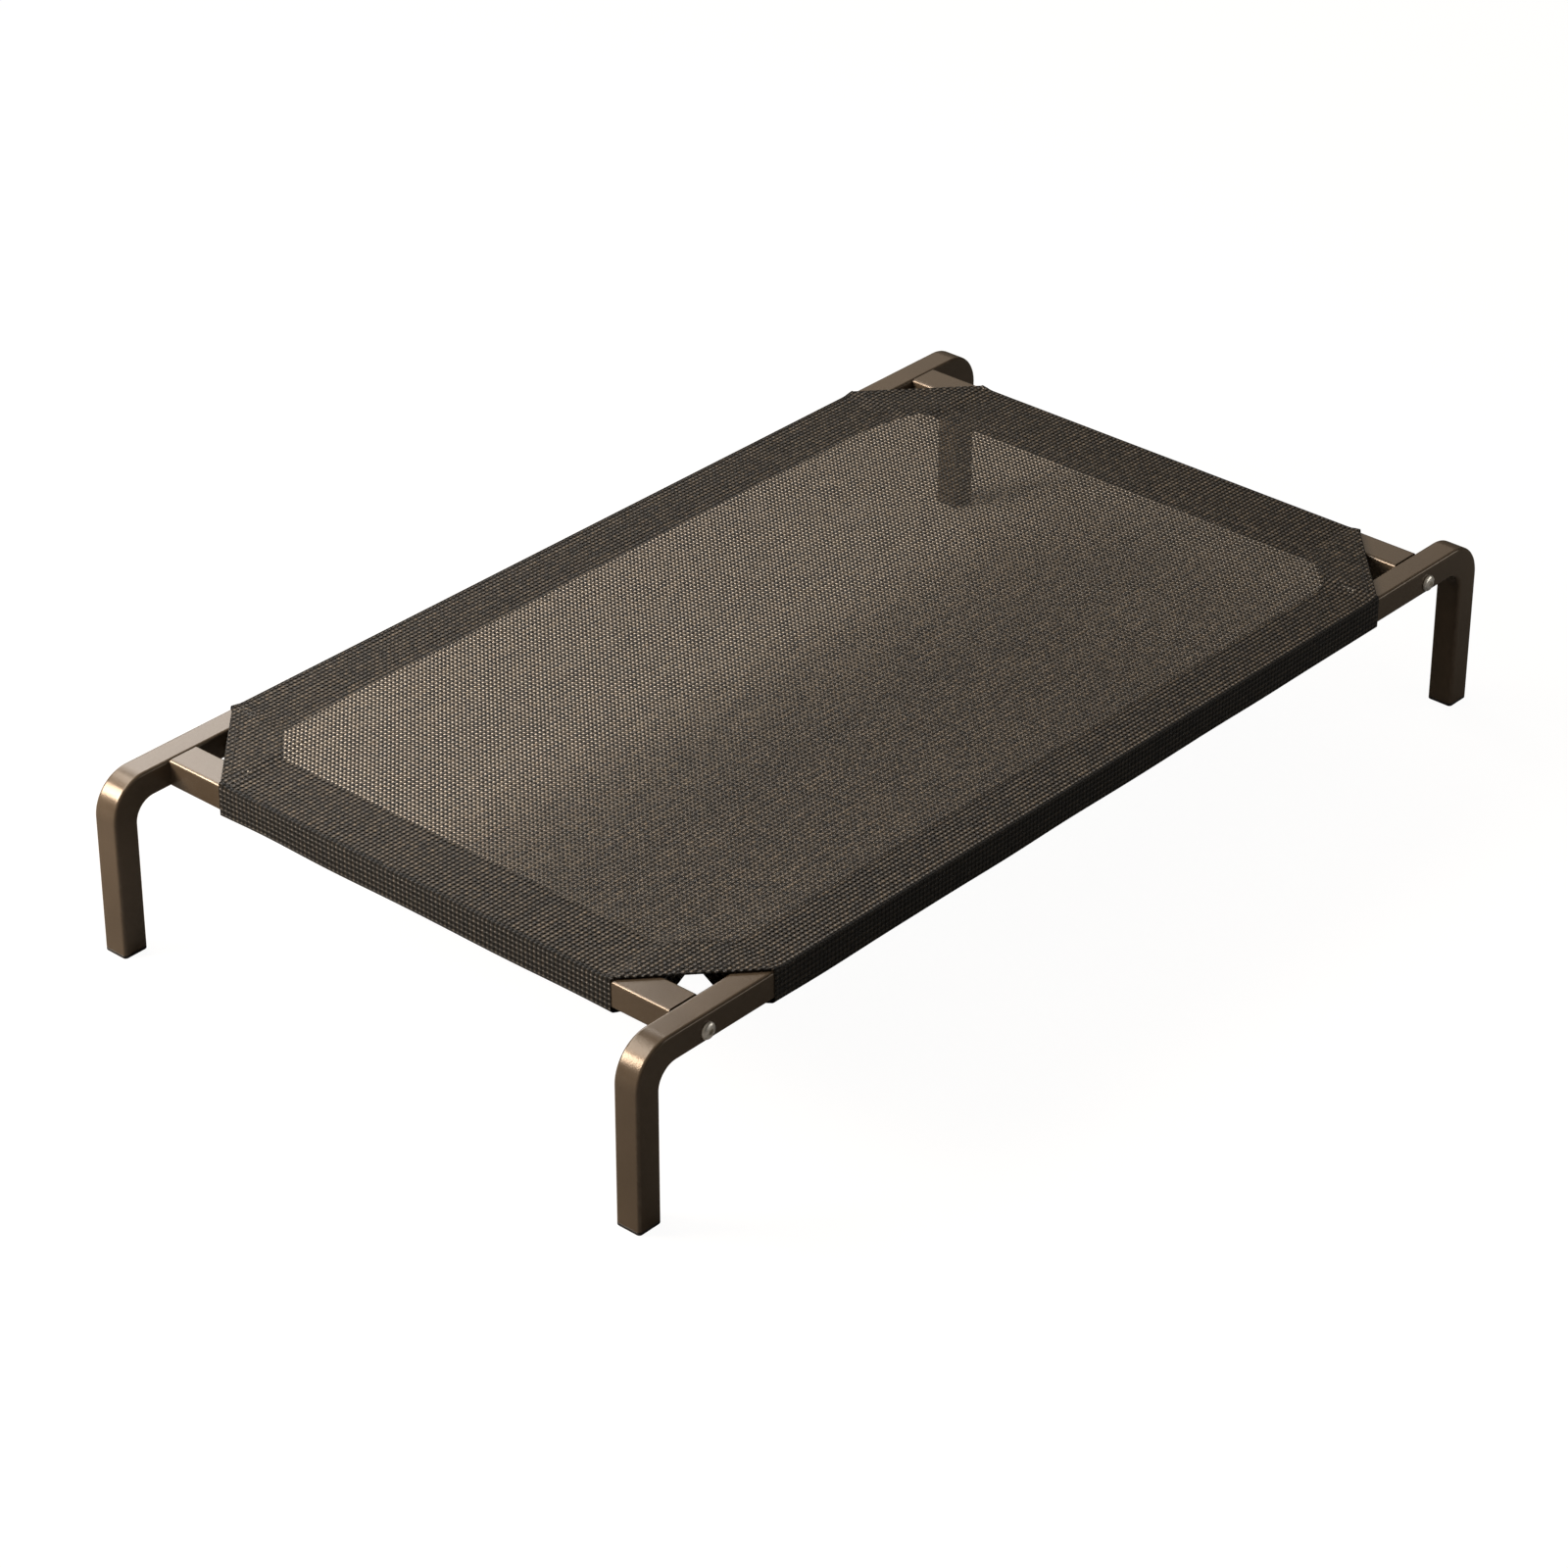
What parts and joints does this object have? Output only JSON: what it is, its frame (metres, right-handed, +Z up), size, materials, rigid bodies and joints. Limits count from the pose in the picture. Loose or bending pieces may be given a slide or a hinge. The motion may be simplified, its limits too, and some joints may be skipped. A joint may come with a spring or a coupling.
{
  "type": "raised dog bed",
  "caption": "Raised dog bed: mesh cloth on sleeves, stretched between bronze tube rails that bend down into legs and bolt together at the corners.",
  "frame": {"origin": "on the floor under the middle of the bed", "axes": "+X along the long sides towards the right end, +Y along the short ends towards the back, +Z up"},
  "size_m": [1.1, 0.6146, 0.1665],
  "materials": {
    "bronze_paint": "semi-gloss metallic bronze powder coat",
    "zinc_plate": "bright zinc plate",
    "plain_steel": "uncoated steel, hidden inside the tubes",
    "black_plastic": "matt moulded plastic",
    "mesh_cloth": "see-through woven mesh of coated brown yarn"
  },
  "bodies": {
    "root": {"side_rail_front": "bronze_paint", "side_rail_back": "bronze_paint", "cross_rail_left": "bronze_paint", "cross_rail_right": "bronze_paint", "bolt_front_left": "zinc_plate", "end_plate_front_left": "plain_steel", "weld_nut_front_left": "plain_steel", "foot_cap_front_left": "black_plastic", "corner_hem_front_left": "mesh_cloth", "bolt_front_right": "zinc_plate", "end_plate_front_right": "plain_steel", "weld_nut_front_right": "plain_steel", "foot_cap_front_right": "black_plastic", "corner_hem_front_right": "mesh_cloth", "bolt_back_left": "zinc_plate", "end_plate_back_left": "plain_steel", "weld_nut_back_left": "plain_steel", "foot_cap_back_left": "black_plastic", "corner_hem_back_left": "mesh_cloth", "bolt_back_right": "zinc_plate", "end_plate_back_right": "plain_steel", "weld_nut_back_right": "plain_steel", "foot_cap_back_right": "black_plastic", "corner_hem_back_right": "mesh_cloth", "mesh_panel": "mesh_cloth", "sleeve_front": "mesh_cloth", "sleeve_back": "mesh_cloth", "sleeve_left": "mesh_cloth", "sleeve_right": "mesh_cloth"}
  },
  "joints": []
}
